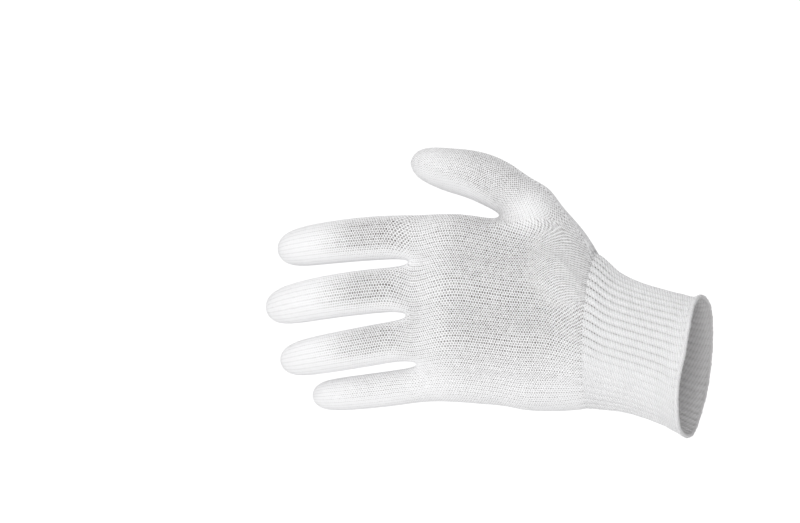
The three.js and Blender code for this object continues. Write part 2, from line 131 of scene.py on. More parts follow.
# How the skin is divided into panels, and each panel into columns of stitches
BACK_PANELS = 6
WEB_PANELS = 2
SIDE_PANELS = 4
HOLE_FIRST, HOLE_LAST, HOLE_BESIDE = 2, 6, 1
HAND_SQUARENESS = 2.35
SMOOTHING_PASSES = 7
WALES_PER_PANEL = 1.5
THUMB_WALES_PER_PANEL = 2.2
COURSE = 1.38
THUMB_COURSE = 1.52

finger_roots = [f["breadth"] * FINGER_SECTIONS[0]["broad"] for f in FINGERS]
KNUCKLE_BREADTH = sum(finger_roots) + (len(FINGERS) - 1) * WEB_GAP
SIZES = {
    "mouth": (MOUTH_BREADTH, MOUTH_DEPTH),
    "wrist": (WRIST_BREADTH, WRIST_DEPTH),
    "palm": (KNUCKLE_BREADTH, PALM_DEPTH),
}


def lerp(a, b, t):
    return a + (b - a) * t


def sleeve_section(row, start, length):
    """(distance from the mouth, height of the middle, lean, half breadth, half depth) of a sleeve's row."""
    breadth, depth = SIZES[row["of"]]
    return np.array([
        start + row["at"] * length,
        row["rise"] * HAND_RISE,
        math.radians(row["lean"]),
        row["broad"] * breadth / 2,
        row["deep"] * depth / 2,
    ])


cuff_sections = [sleeve_section(r, 0, CUFF_LENGTH) for r in CUFF_SECTIONS]
hand_sections = [cuff_sections[-1]] + [sleeve_section(r, CUFF_LENGTH, HAND_LENGTH) for r in HAND_SECTIONS]


def cuff_at(t):
    """The cuff's section a share t of the way from the mouth to the join, on a smooth curve."""
    last = len(cuff_sections) - 1
    start = t * CUFF_LENGTH
    i = 0
    while i < last - 1 and cuff_sections[i + 1][0] < start:
        i += 1
    a, b, c, d = (cuff_sections[min(max(k, 0), last)] for k in range(i - 1, i + 3))
    t = (start - b[0]) / (c[0] - b[0])
    made = b + 0.5 * t * (c - a + t * (2 * a - 5 * b + 4 * c - d + t * (3 * (b - c) + d - a)))
    made[0] = start
    return made


def sleeve_points(section, turn, grow=0.0, squareness=2.0):
    """Points of a sleeve's section: turn 0 is the thumb's side and a quarter turn the back of the hand."""
    start, rise, lean, half_breadth, half_depth = section
    turn = np.asarray(turn, float)

    def power(v):
        return np.sign(v) * np.abs(v) ** (2 / squareness)

    across = (half_breadth + grow) * power(np.cos(turn))
    back = (half_depth + grow) * power(np.sin(turn))
    return np.stack([-start + across * math.sin(lean), -back, rise + across * math.cos(lean)], -1)


class Cage:
    """The coarse skin: points, how far each may relax, and panels with their piece and stitch counts."""

    def __init__(self):
        self.points, self.soft, self.panels = [], [], []

    def point(self, p, soft=0.0):
        self.points.append(np.array(p, float))
        self.soft.append(soft)
        return len(self.points) - 1

    def join(self, piece, inner, outer, first_wale, inner_course, outer_course, skip=(), wales=WALES_PER_PANEL):
        """Panels between two rings; the courses are given for each point of a ring."""
        n = len(inner)
        for k in range(n):
            if k in skip:
                continue
            m = (k + 1) % n
            u0 = first_wale + k * wales
            u1 = u0 + wales
            corners = (inner[k], outer[k], outer[m], inner[m])
            uv = ((u0, inner_course[k]), (u0, outer_course[k]), (u1, outer_course[m]), (u1, inner_course[m]))
            self.panels.append((piece, corners, uv))

    def close(self, piece, ring, tip, first_wale, ring_course, tip_course, wales=WALES_PER_PANEL):
        end = self.point(tip)
        for k, p in enumerate(ring):
            u = first_wale + k * wales
            m = ring[(k + 1) % len(ring)]
            uv = ((u, ring_course), (u + wales / 2, tip_course), (u + wales, ring_course))
            self.panels.append((piece, (p, end, m), uv))

    def ring(self, middle, up, back, half_breadth, half_depth, first_turn, count, soft):
        made = []
        for k in range(count):
            turn = first_turn + k * 2 * math.pi / count
            p = middle + up * half_breadth * math.cos(turn) + back * half_depth * math.sin(turn)
            made.append(self.point(p, soft))
        return made

    def relax(self):
        """Each soft point moves towards the middle of its neighbours, so that the digits run into the hand."""
        neighbours = [set() for _ in self.points]
        for _, corners, _ in self.panels:
            for k, p in enumerate(corners):
                q = corners[(k + 1) % len(corners)]
                neighbours[p].add(q)
                neighbours[q].add(p)
        for _ in range(SMOOTHING_PASSES):
            moved = []
            for i, p in enumerate(self.points):
                if self.soft[i] and neighbours[i]:
                    mean = sum(self.points[n] for n in neighbours[i]) / len(neighbours[i])
                    p = lerp(p, mean, self.soft[i] * 0.5)
                moved.append(p)
            self.points = moved


def add_finger(cage, index, root_middle):
    """A finger stall from root to tip; its first ring's course counts are filled in by the hand."""
    finger = FINGERS[index]
    upper = SIDE_PANELS if index == 0 else WEB_PANELS
    lower = SIDE_PANELS if index == len(FINGERS) - 1 else WEB_PANELS
    count = 2 * BACK_PANELS + upper + lower
    first_turn = upper / 2 * 2 * math.pi / count
    middle = np.array(root_middle, float)
    rings = []
    way = None
    for i, row in enumerate(FINGER_SECTIONS):
        sink = math.radians(lerp(finger["sink"], finger["tip_sink"], row["at"]))
        curl = math.radians(row["curl"])
        way = np.array([-math.cos(curl) * math.cos(sink), math.sin(curl), -math.cos(curl) * math.sin(sink)])
        step = row["at"] - FINGER_SECTIONS[i - 1]["at"] if i else 0
        middle = middle + way * step * finger["length"]
        up = np.array([-math.sin(sink), 0, math.cos(sink)])
        back = np.cross(up, way)
        soft = 1 if i == 0 else 0.35 if i == 1 else 0
        half_breadth, half_depth = row["broad"] * finger["breadth"] / 2, row["deep"] * finger["depth"] / 2
        rings.append(cage.ring(middle, up, back, half_breadth, half_depth, first_turn, count, soft))
    tip = middle + way * (1 - FINGER_SECTIONS[-1]["at"]) * finger["length"]
    root = rings[0]
    low = BACK_PANELS + lower
    return dict(
        rings=rings,
        tip=tip,
        back=root[: BACK_PANELS + 1],
        lower_side=root[BACK_PANELS + 1 : low],
        palm=root[low : low + BACK_PANELS + 1],
        upper_side=root[low + BACK_PANELS + 1 :],
    )


def palm_relief(turn, at):
    """How far the palm stands out: the ball of the thumb, the heel and the hollow between them."""

    def bump(x, middle, width):
        return math.exp(-(((x - middle) / width) ** 2))

    height, facing = math.cos(turn), max(0, -math.sin(turn))
    ball = THENAR_RISE * bump(height, 0.5, 0.4) * bump(at, 0.3, 0.28)
    heel = HEEL_RISE * bump(height, -0.6, 0.35) * bump(at, 0.35, 0.3)
    hollow = PALM_HOLLOW * bump(height, -0.05, 0.35) * bump(at, 0.55, 0.3)
    return facing * (ball + heel - hollow)


def add_hand_rings(cage, knuckles):
    """The hand's rings, from the cuff join to the knuckles, whose columns run on into the fingers."""
    n = len(knuckles)
    back_count = len(FINGERS) * (BACK_PANELS + 1)
    side_count = SIDE_PANELS - 1
    widest = hand_sections[-1][3]
    heights = [(cage.points[p][2] - HAND_RISE) / widest for p in knuckles]
    near = SIDE_PANELS / 2 + HOLE_BESIDE
    rings = []
    for i, section in enumerate(hand_sections):
        at = (section[0] - CUFF_LENGTH) / HAND_LENGTH
        to_knuckles = {0: 0.45, 1: 0.15}.get(len(hand_sections) - 1 - i, 0)
        squareness = 2 + (HAND_SQUARENESS - 2) * min(1, at / 0.3)

        def turn_at(k):
            h = heights[k]
            return math.acos(math.copysign(abs(h) ** (squareness / 2), h))

        back_end = turn_at(back_count - 1)
        palm_start = 2 * math.pi - turn_at(back_count + side_count)
        palm_end = -turn_at(n - 1 - side_count)
        ring = []
        for k, knuckle in enumerate(knuckles):
            past_back, past_palm = k - (back_count - 1), k - (n - 1 - side_count)
            if past_back <= 0:
                turn = turn_at(k)
            elif past_back <= side_count:
                turn = lerp(back_end, palm_start, past_back / SIDE_PANELS)
            elif past_palm > 0:
                turn = lerp(palm_end, turn_at(0), past_palm / SIDE_PANELS)
            else:
                turn = -turn_at(k)
            p = sleeve_points(section, turn, 0, squareness)
            # The hand's first ring lies on the cuff's last
            p[1] += palm_relief(turn, at) if i else 0
            p[1] += to_knuckles * (cage.points[knuckle][1] - p[1])
            from_side = (k + SIDE_PANELS // 2) % n
            past = min(from_side, n - from_side) - near
            soft = to_knuckles
            if HOLE_FIRST <= i <= HOLE_LAST and past <= 0:
                soft = 0.8
            if HOLE_FIRST - 1 <= i <= HOLE_LAST + 1 and 0 < past < 4:
                soft = 0.4
            ring.append(cage.point(p, soft))
        rings.append(ring)
    return rings


def build_cage():
    """The whole skin of plain knit, with its stitch counts."""
    cage = Cage()
    top = HAND_RISE + KNUCKLE_BREADTH / 2
    fingers = []
    for i, finger in enumerate(FINGERS):
        x = -CUFF_LENGTH - finger["reach"] * HAND_LENGTH
        fingers.append(add_finger(cage, i, (x, finger["arch"] * PALM_DEPTH, top - finger_roots[i] / 2)))
        top -= finger_roots[i] + WEB_GAP
    knuckles = [p for f in fingers for p in f["back"]] + fingers[-1]["lower_side"]
    knuckles += [p for f in reversed(fingers) for p in f["palm"]] + fingers[0]["upper_side"]
    hand = add_hand_rings(cage, knuckles)
    n = len(knuckles)

    # Where the thumb leaves the hand
    palm_edge = n - SIDE_PANELS - HOLE_BESIDE
    width = SIDE_PANELS + 2 * HOLE_BESIDE
    across = [(palm_edge + k) % n for k in range(width + 1)]
    between = list(range(HOLE_FIRST + 1, HOLE_LAST))
    root = [hand[HOLE_FIRST][k] for k in across] + [hand[i][HOLE_BESIDE] for i in between]
    root += [hand[HOLE_LAST][k] for k in reversed(across)] + [hand[i][palm_edge] for i in reversed(between)]
    thumb_rings = add_thumb_rings(cage, root, width, between)

    # Stitch counts: the courses follow the lengths that they cover
    course = {}
    for ring, section in zip(hand, hand_sections):
        for p in ring:
            course[p] = (section[0] - CUFF_LENGTH) / COURSE
    for p, q in zip(hand[-1], knuckles):
        course[q] = course[p] + np.linalg.norm(cage.points[p] - cage.points[q]) / COURSE
    for upper, lower in zip(fingers, fingers[1:]):
        above = [upper["back"][-1], *upper["lower_side"], upper["palm"][0]]
        below = [lower["back"][0], *reversed(lower["upper_side"]), lower["palm"][-1]]
        for p in above + below:
            course.setdefault(p, course[above[0]])
        for k in range(1, len(above)):
            uv = ((0, 2 * k - 2), (0, 2 * k), (WALES_PER_PANEL, 2 * k), (WALES_PER_PANEL, 2 * k - 2))
            cage.panels.append(("hand", (above[k - 1], above[k], below[k], below[k - 1]), uv))
    for i, (a, b) in enumerate(zip(hand, hand[1:] + [knuckles])):
        skip = set(across[:-1]) if HOLE_FIRST <= i < HOLE_LAST else ()
        cage.join("hand", a, b, 0, [course[p] for p in a], [course[p] for p in b], skip)
    for i, f in enumerate(fingers):
        name, length = FINGERS[i]["name"], FINGERS[i]["length"]
        first = i * (BACK_PANELS + 1) * WALES_PER_PANEL
        start = np.mean([course[p] for p in f["rings"][0]])
        lists = [[course[p] for p in f["rings"][0]]]
        for row in FINGER_SECTIONS[1:]:
            lists.append([start + row["at"] * length / COURSE] * len(f["rings"][0]))
        for j in range(1, len(f["rings"])):
            cage.join(name, f["rings"][j - 1], f["rings"][j], first, lists[j - 1], lists[j])
        cage.close(name, f["rings"][-1], f["tip"], first, lists[-1][0], start + length / COURSE)
    add_thumb_panels(cage, thumb_rings, palm_edge * WALES_PER_PANEL, course[root[0]])
    cage.relax()
    return cage


def add_thumb_rings(cage, root, width, between):
    """The thumb's rings, its root first, and the place of its tip last."""
    rear = cage.points[root[width // 2]]
    front = cage.points[root[width + len(between) + 1 + width // 2]]
    middle = (rear + front) / 2

    def place(row):
        return middle + THUMB_LENGTH * np.array([-row["out"], row["palm"], row["up"]])

    first_turn = -(width / 2) * 2 * math.pi / len(root)
    rings = [root]
    for i, row in enumerate(THUMB_SECTIONS):
        lean = math.radians(row["lean"])
        up, back = np.array([math.sin(lean), 0, math.cos(lean)]), np.array([0, -1.0, 0])
        half_breadth, half_depth = row["broad"] * THUMB_BREADTH / 2, row["deep"] * THUMB_DEPTH / 2
        soft = 0 if i else 0.5
        rings.append(cage.ring(place(row), up, back, half_breadth, half_depth, first_turn, len(root), soft))
    return rings + [place(THUMB_TIP)]


def add_thumb_panels(cage, rings, first_wale, course):
    tip = rings[-1]
    rings = rings[:-1]
    for a, b in zip(rings, rings[1:]):
        step = np.mean([np.linalg.norm(cage.points[p] - cage.points[q]) for p, q in zip(a, b)]) / THUMB_COURSE
        around = [course] * len(a), [course + step] * len(b)
        cage.join("thumb", a, b, first_wale, *around, wales=THUMB_WALES_PER_PANEL)
        course += step
    cage.close("thumb", rings[-1], tip, first_wale, course, course + 3, wales=THUMB_WALES_PER_PANEL)


PLAIN_PIECES = ["hand"] + [f["name"] for f in FINGERS] + ["thumb"]


def smooth_skin(cage, levels):
    """The cage as one smooth skin: (points in millimetres, quads, piece of each quad, stitch counts)."""
    mesh = bpy.data.meshes.new("skin")
    mesh.from_pydata([p.tolist() for p in cage.points], [], [c for _, c, _ in cage.panels])
    for _ in PLAIN_PIECES:
        mesh.materials.append(None)
    mesh.polygons.foreach_set("material_index", [PLAIN_PIECES.index(p) for p, _, _ in cage.panels])
    layer = mesh.uv_layers.new(name="knit")
    layer.data.foreach_set("uv", np.array([c for _, _, uv in cage.panels for c in uv], float).ravel())
    obj = bpy.data.objects.new("skin", mesh)
    bpy.context.scene.collection.objects.link(obj)
    subdivision = obj.modifiers.new("smooth", "SUBSURF")
    subdivision.levels = subdivision.render_levels = levels
    subdivision.uv_smooth = "PRESERVE_BOUNDARIES"
    made = obj.evaluated_get(bpy.context.evaluated_depsgraph_get()).to_mesh()
    co = np.empty(len(made.vertices) * 3)
    made.vertices.foreach_get("co", co)
    quads = np.empty(len(made.loops), int)
    made.loops.foreach_get("vertex_index", quads)
    piece = np.empty(len(made.polygons), int)
    made.polygons.foreach_get("material_index", piece)
    uv = np.empty(len(made.loops) * 2)
    made.uv_layers["knit"].data.foreach_get("uv", uv)
    bpy.data.objects.remove(obj)
    bpy.data.meshes.remove(mesh)
    return co.reshape(-1, 3), quads.reshape(-1, 4), piece, uv.reshape(-1, 4, 2)


def vertex_normals(co, quads):
    a, b, c, d = (co[quads[:, k]] for k in range(4))
    facing = np.cross(c - a, d - b)
    out = np.zeros_like(co)
    for k in range(4):
        np.add.at(out, quads[:, k], facing)
    return out / np.maximum(np.linalg.norm(out, axis=1, keepdims=True), 1e-12)


def make_piece(name, skin, inner, floats, material, nodes):
    """A closed wall: the given skin outside, inner points behind it, and a rim wherever it is open.

    skin is (points, quads, stitch counts, normals), all in millimetres."""
    co, quads, uv, normals = skin
    used, quads = np.unique(quads, return_inverse=True)
    quads = quads.reshape(-1, 4)
    n = len(used)
    both = np.vstack([co[used], inner[used]]) * MM
    edges = {}
    for q, t in zip(quads.tolist(), uv.tolist()):
        for k in range(4):
            a, b = q[k], q[(k + 1) % 4]
            if edges.pop((b, a), None) is None:
                edges[a, b] = (t[k], t[(k + 1) % 4])
    rim = [(b, a, a + n, b + n) for a, b in edges]
    rim_uv = [(tb, ta, ta, tb) for ta, tb in edges.values()]
    faces = quads.tolist() + (quads[:, ::-1] + n).tolist() + rim
    mesh = bpy.data.meshes.new(name)
    mesh.from_pydata(both.tolist(), [], faces)
    layer = mesh.uv_layers.new(name="knit")
    all_uv = [uv.reshape(-1, 2), uv[:, ::-1].reshape(-1, 2)]
    if rim_uv:
        all_uv.append(np.array(rim_uv, float).reshape(-1, 2))
    layer.data.foreach_set("uv", np.vstack(all_uv).ravel())
    floats = {"inside": np.zeros(len(co)), **floats}
    for key, values in floats.items():
        behind = np.ones(n) if key == "inside" else values[used] * 0.2
        attribute = mesh.attributes.new(key, "FLOAT", "POINT")
        attribute.data.foreach_set("value", np.concatenate([values[used], behind]).astype(np.float32))
    mesh.polygons.foreach_set("use_smooth", [True] * len(mesh.polygons))
    out = normals[used]
    mesh.normals_split_custom_set_from_vertices(np.vstack([out, -out]).tolist())
    mesh.materials.append(material)
    obj = bpy.data.objects.new(name, mesh)
    bpy.context.scene.collection.objects.link(obj)
    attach(obj, "root")
    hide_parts(*nodes)
    return obj


def ramp(x, start, end):
    """0 before start and 1 after end, smoothly."""
    t = np.clip((x - start) / (end - start), 0, 1)
    return t * t * (3 - 2 * t)


# How the stitches drift over the back of the hand, where the cloth is pulled askew between the knuckles, the
# thumb and the cuff: a cubic in the distances along and up from a middle point, in units of DRIFT_SPAN
DRIFT_MIDDLE = (-100, 25)
DRIFT_SPAN = 40
DRIFT = [
    dict(along=0, up=1, wales=-0.91, courses=-2.1),
    dict(along=0, up=2, wales=-0.79, courses=0.95),
    dict(along=0, up=3, wales=-0.11, courses=0.05),
    dict(along=1, up=0, wales=-1.41, courses=1.24),
    dict(along=1, up=1, wales=-1.77, courses=-0.61),
    dict(along=1, up=2, wales=-1.2, courses=-1.4),
    dict(along=2, up=0, wales=-1.18, courses=-0.23),
    dict(along=2, up=1, wales=-1.64, courses=1.95),
    dict(along=3, up=0, wales=0.98, courses=0.44),
]


def drawn(co, quads, uv, normals):
    """The stitch counts with the drift added, which fades out over the fingers, the thumb and the palm."""
    x, _, z = co.T
    along = np.clip((x - DRIFT_MIDDLE[0]) / DRIFT_SPAN, -1.25, 1.15)
    up = np.clip((z - DRIFT_MIDDLE[1]) / DRIFT_SPAN, -1.0, 1.25)
    wales = sum(row["wales"] * along ** row["along"] * up ** row["up"] for row in DRIFT)
    courses = sum(row["courses"] * along ** row["along"] * up ** row["up"] for row in DRIFT)
    here = ramp(x, -165, -140)
    wales = wales * here * ramp(-normals[:, 1], -0.3, 0.35)
    return uv + np.stack([wales, courses * here], -1)[quads]


# Where the cloth lies closed: at the ends of the slits between the fingers and over the root of the
# thumb; reach in millimetres, hold from 0 for open to 1 for closed
CLOSED = [
    dict(x=-153, z=54.5, reach=6, hold=0.75),
    dict(x=-157, z=26, reach=5, hold=0.75),
    dict(x=-149, z=0.5, reach=5, hold=0.75),
    dict(x=-86, z=80, reach=13, hold=0.65),
]


def gathered(co):
    """1 where the cloth is gathered between the root of the thumb and the cuff, and 0 away from there."""
    x, _, z = co.T
    near = np.exp(-(((x + 64) / 23) ** 2) - (((z - 53) / 25) ** 2)) * (z > 0)
    return ramp(near, 0.3, 0.7)


def openness_with_painted_light(co, normals):
    """How far the stitches are drawn open: most over the hand and the roots of the digits, least at the tips. The
    undersides of the thumb and the fingers get fewer holes, so they show lighter: painted light.
    """
    x, _, z = co.T
    outwards = 0.1 + 0.9 * ramp(x, -218, -176)
    cuffwards = 1 - 0.12 * ramp(x, -80, -60)
    down = 0.2 + 0.8 * ramp(z, -45, 25)
    # The cloth is slack where the fingers part
    slack = 1 - 0.3 * np.exp(-(((x + 142) / 13) ** 2))
    # Painted light: the thumb's underside is kept closed, so it shows lighter
    thumb = (0.5 + 0.35 * ramp(x, -148, -112)) * (1 - 0.7 * ramp(-normals[:, 2], 0.05, 0.6))
    back = outwards * cuffwards * down * slack * (1 - 0.15 * gathered(co))
    most = lerp(back, thumb, ramp(z, 74, 90))
    facing = -normals[:, 1]
    on_hand = 0.55 + 0.45 * ramp(facing, -0.1, 0.6)
    # Painted light: the undersides of the fingers are kept closed, so they show lighter
    on_finger = (0.2 + 0.8 * ramp(facing, 0.0, 0.85)) * (1 - 0.65 * ramp(-normals[:, 2], 0.15, 0.8))
    most = most * lerp(on_finger, on_hand, ramp(x, -162, -148))
    for row in CLOSED:
        near = (x - row["x"]) ** 2 + (1.4 * (z - row["z"])) ** 2
        most = most * (1 - row["hold"] * np.exp(-near / row["reach"] ** 2))
    return most


class GloveSettings(bpy.types.PropertyGroup):
    knit_wall: bpy.props.FloatProperty(
        name="Knit thickness", description="Thickness of the plain knit", default=1.2 * MM, unit="LENGTH", precision=4
    )
    cuff_wall: bpy.props.FloatProperty(
        name="Cuff thickness", description="Thickness of the rib knit", default=1.7 * MM, unit="LENGTH", precision=4
    )
    ribs: bpy.props.IntProperty(name="Ribs", description="Number of ribs round the cuff", default=46, min=12)
    rib_height: bpy.props.FloatProperty(
        name="Rib height", description="From groove to crest", default=1.4 * MM, unit="LENGTH", precision=4
    )
    yarn: bpy.props.FloatVectorProperty(
        name="Yarn", description="Colour of the bleached yarn", subtype="COLOR", default=srgb("#F3F3F4"), min=0, max=1
    )
    shade: bpy.props.FloatVectorProperty(
        name="Stitch holes", description="Colour seen between stitches", subtype="COLOR", default=srgb("#6E6765")
    )


def add(tree, kind, inputs=None, **settings):
    """A node with its settings, whose inputs are values or other nodes' outputs."""
    made = tree.nodes.new(kind)
    for key, value in settings.items():
        setattr(made, key, value)
    for key, value in (inputs or {}).items():
        if isinstance(value, bpy.types.NodeSocket):
            tree.links.new(value, made.inputs[key])
        else:
            made.inputs[key].default_value = value
    return made


def maths(tree, operation, *values, clamp=False):
    return add(tree, "ShaderNodeMath", dict(enumerate(values)), operation=operation, use_clamp=clamp).outputs[0]


def knit_cotton(name, settings, size, depth, legs, relief, lines=0.0, inside=0.0, rope=False):
    """Fine-gauge cotton knit: bleached, matt and slightly fuzzy single yarn in V-shaped stitches.

    To the eye it is a white cloth with small shadowed holes, one at each side of a stitch's foot and one
    inside its loop, staggered like a honeycomb, that grow where the cloth is drawn open. The UV map counts
    stitches: one unit of U is one wale, about 2.3 mm, and one unit of V is one course of 1.4 mm."""
    yarn, shade = (*settings.yarn, 1), (*settings.shade, 1)
    material = bpy.data.materials.new(name)
    material.use_nodes = True
    tree = material.node_tree
    tree.nodes.clear()
    uv = add(tree, "ShaderNodeUVMap", uv_map="knit")
    place = add(tree, "ShaderNodeTexCoord").outputs["Object"]
    # Stitches never lie quite in line: each wanders by a tenth of its size over about 4 mm
    wander = add(tree, "ShaderNodeTexNoise", {"Vector": place, "Scale": 320.0, "Detail": 2.0})
    wander = add(tree, "ShaderNodeVectorMath", {0: wander.outputs["Color"], 1: (0.5, 0.5, 0.5)}, operation="SUBTRACT")
    wander = add(tree, "ShaderNodeVectorMath", {0: wander.outputs[0], 1: (0.22, 0.4, 0)}, operation="MULTIPLY")
    gather = add(tree, "ShaderNodeAttribute", attribute_name="gathered").outputs["Fac"]
    moved = add(tree, "ShaderNodeVectorMath", {0: uv.outputs["UV"], 1: wander.outputs[0]}, operation="ADD")
    split = add(tree, "ShaderNodeSeparateXYZ", {"Vector": moved.outputs[0]})
    wale, course = split.outputs["X"], split.outputs["Y"]
    opened = add(tree, "ShaderNodeAttribute", attribute_name="open").outputs["Fac"]
    within = add(tree, "ShaderNodeAttribute", attribute_name="inside").outputs["Fac"]
    painted_groove_shade = add(tree, "ShaderNodeAttribute", attribute_name="painted_groove_shade").outputs["Fac"]

    def hole(dx, dy, half_width, half_height):
        """1 in the middle of a hole and 0 outside it, on an oval that grows as the cloth opens."""
        across = maths(tree, "POWER", maths(tree, "DIVIDE", dx, half_width), 2.0)
        along = maths(tree, "POWER", maths(tree, "DIVIDE", dy, half_height), 2.0)
        reach = maths(tree, "MULTIPLY_ADD", opened, 0.95, 0.35)
        covered = maths(tree, "SUBTRACT", reach, maths(tree, "ADD", across, along))
        return maths(tree, "MULTIPLY", covered, 1.5, clamp=True)

    def lattice(across):
        """The holes at the feet and inside the loops of the stitches: (holes, distance from the loops' middle)."""
        side, row = maths(tree, "PINGPONG", across, 0.5), maths(tree, "PINGPONG", course, 0.5)
        half_side, half_row = maths(tree, "SUBTRACT", 0.5, side), maths(tree, "SUBTRACT", 0.5, row)
        foot = hole(side, row, 0.23 * size, 0.35 * size)
        loop = maths(tree, "MULTIPLY", hole(half_side, half_row, 0.21 * size, 0.33 * size), 0.85)
        return maths(tree, "MAXIMUM", foot, loop), half_side

    # Where the cloth is gathered, three wales lie in the room of two
    holes, half_side = lattice(wale)
    closer, _ = lattice(maths(tree, "MULTIPLY", wale, 1.5))
    holes = add(tree, "ShaderNodeMix", {0: gather, 2: holes, 3: closer}, data_type="FLOAT").outputs[0]
    # The two legs of each stitch slant into a V, and on a rib they twist into one strand, like a rope
    aslant = maths(tree, "FRACT", maths(tree, "MULTIPLY", wale, 0.5)) if rope else half_side
    slant = maths(tree, "ADD", course, aslant)
    leg = maths(tree, "MULTIPLY", maths(tree, "PINGPONG", slant, 0.5), 2.0)
    # Some holes are darker than others, and soft patches lie closer
    uneven = add(tree, "ShaderNodeTexNoise", {"Vector": place, "Scale": 520.0, "Detail": 3.0}).outputs["Fac"]
    uneven = add(tree, "ShaderNodeMapRange", {"Value": uneven, 1: 0.3, 2: 0.7, 3: 0.65, 4: 1.3}).outputs[0]
    dark = maths(tree, "MULTIPLY", holes, maths(tree, "MULTIPLY_ADD", opened, 0.75, 0.25))
    # Painted shade in the crease between the two legs of each stitch
    between_legs = maths(tree, "POWER", maths(tree, "SUBTRACT", 1.0, leg), 2.0)
    dark = maths(tree, "ADD", dark, maths(tree, "MULTIPLY", between_legs, 0.2 * legs))
    # Where the cloth is closed, each wale still parts from the next in a thin line, darkened as painted shade
    parting = maths(tree, "POWER", maths(tree, "MULTIPLY", half_side, 2.0), 3.0)
    closed = maths(tree, "SUBTRACT", maths(tree, "SUBTRACT", 1.0, opened), gather, clamp=True)
    dark = maths(tree, "ADD", dark, maths(tree, "MULTIPLY", maths(tree, "MULTIPLY", parting, closed), lines))
    # Painted shade: the grooves between the ribs are darkened
    dark = maths(tree, "ADD", dark, painted_groove_shade)
    dark = maths(tree, "MULTIPLY", maths(tree, "MULTIPLY", dark, uneven), depth, clamp=True)
    colour = add(tree, "ShaderNodeMix", {0: dark, 6: yarn, 7: shade}, data_type="RGBA").outputs[2]
    # The wrong side shows purl bumps; its colour is darkened towards the hole colour as painted shade, inside the
    # cuff and under the fold
    inside_shade = maths(tree, "MULTIPLY", within, inside)
    colour = add(tree, "ShaderNodeMix", {0: inside_shade, 6: colour, 7: shade}, data_type="RGBA").outputs[2]
    fuzz = add(tree, "ShaderNodeTexNoise", {"Vector": place, "Scale": 3200.0, "Detail": 3.0}).outputs["Fac"]
    height = maths(tree, "MULTIPLY", leg, maths(tree, "MULTIPLY_ADD", within, -0.8 * legs, legs))
    height = maths(tree, "SUBTRACT", height, maths(tree, "MULTIPLY", holes, opened))
    height = maths(tree, "MULTIPLY_ADD", fuzz, 0.35, height)
    raised = add(tree, "ShaderNodeBump", {"Height": height, "Distance": relief * MM, "Strength": 1.0})
    shader = add(
        tree,
        "ShaderNodeBsdfPrincipled",
        {"Base Color": colour, "Normal": raised.outputs[0], "Roughness": 0.92, "IOR": 1.53, "Sheen Weight": 0.1,
         "Sheen Roughness": 0.6, "Specular IOR Level": 0.15},
    )
    add(tree, "ShaderNodeOutputMaterial", {"Surface": shader.outputs[0]})
    return material


def rib_relief(phase, inward, height):
    """Height of the ribbed cloth at a phase of a rib, a distance inward from the join, and its groove.

    The ribs rise out of the plain knit, and are full 9 mm from the join."""
    groove = np.abs(2 * (phase % 1) - 1) ** 1.9
    carved = -0.6 * groove
    full = 0.4 - groove
    return height * ramp(inward, -4.0, 2.0) * lerp(carved, full, ramp(inward, 0.0, 9.0)), groove


def rib_phase(co, ribs):
    """Which rib a point near the join lies on, counted by distance round the join's section."""
    section = cuff_sections[-1]
    _, rise, _, half_breadth, half_depth = section
    turn = np.arctan2(-co[:, 1] / half_depth, (co[:, 2] - rise) / half_breadth) % (2 * math.pi)
    turns = np.append(even_turns(section, 720), 2 * math.pi)
    return np.interp(turn, turns, np.linspace(0, ribs, 721))


def even_turns(section, count):
    """Turns round a section that lie the same distance apart along its outline."""
    fine = np.linspace(0, 2 * math.pi, 1441)
    p = sleeve_points(section, fine)
    lengths = np.concatenate([[0], np.cumsum(np.linalg.norm(np.diff(p, axis=0), axis=1))])
    return np.interp(np.arange(count) / count * lengths[-1], lengths, fine)


def outward(section, turns):
    """Unit vectors out of a sleeve's section, in its own plane."""
    _, _, lean, half_breadth, half_depth = section
    across, back = np.cos(turns) / half_breadth, np.sin(turns) / half_depth
    out = np.stack([across * math.sin(lean), -back, across * math.cos(lean)], -1)
    return out / np.linalg.norm(out, axis=1, keepdims=True)


def tube(rows, closed=False):
    """Quads between rows of points round a sleeve, and their stitch counts from (wale, course) of each row."""
    count = len(rows[0][1])
    last = len(rows) if closed else len(rows) - 1
    quads, uv = [], []
    for i in range(last):
        j = (i + 1) % len(rows)
        a, b = rows[i], rows[j]
        end = b[2] if j else a[2] + 1
        for k in range(count):
            m = (k + 1) % count
            u0, u1 = a[1][k], a[1][k] + a[3]
            quads.append((i * count + k, j * count + k, j * count + m, i * count + m))
            uv.append(((u0, a[2]), (u0, end), (u1, end), (u1, a[2])))
    return np.vstack([r[0] for r in rows]), np.array(quads), np.array(uv, float)


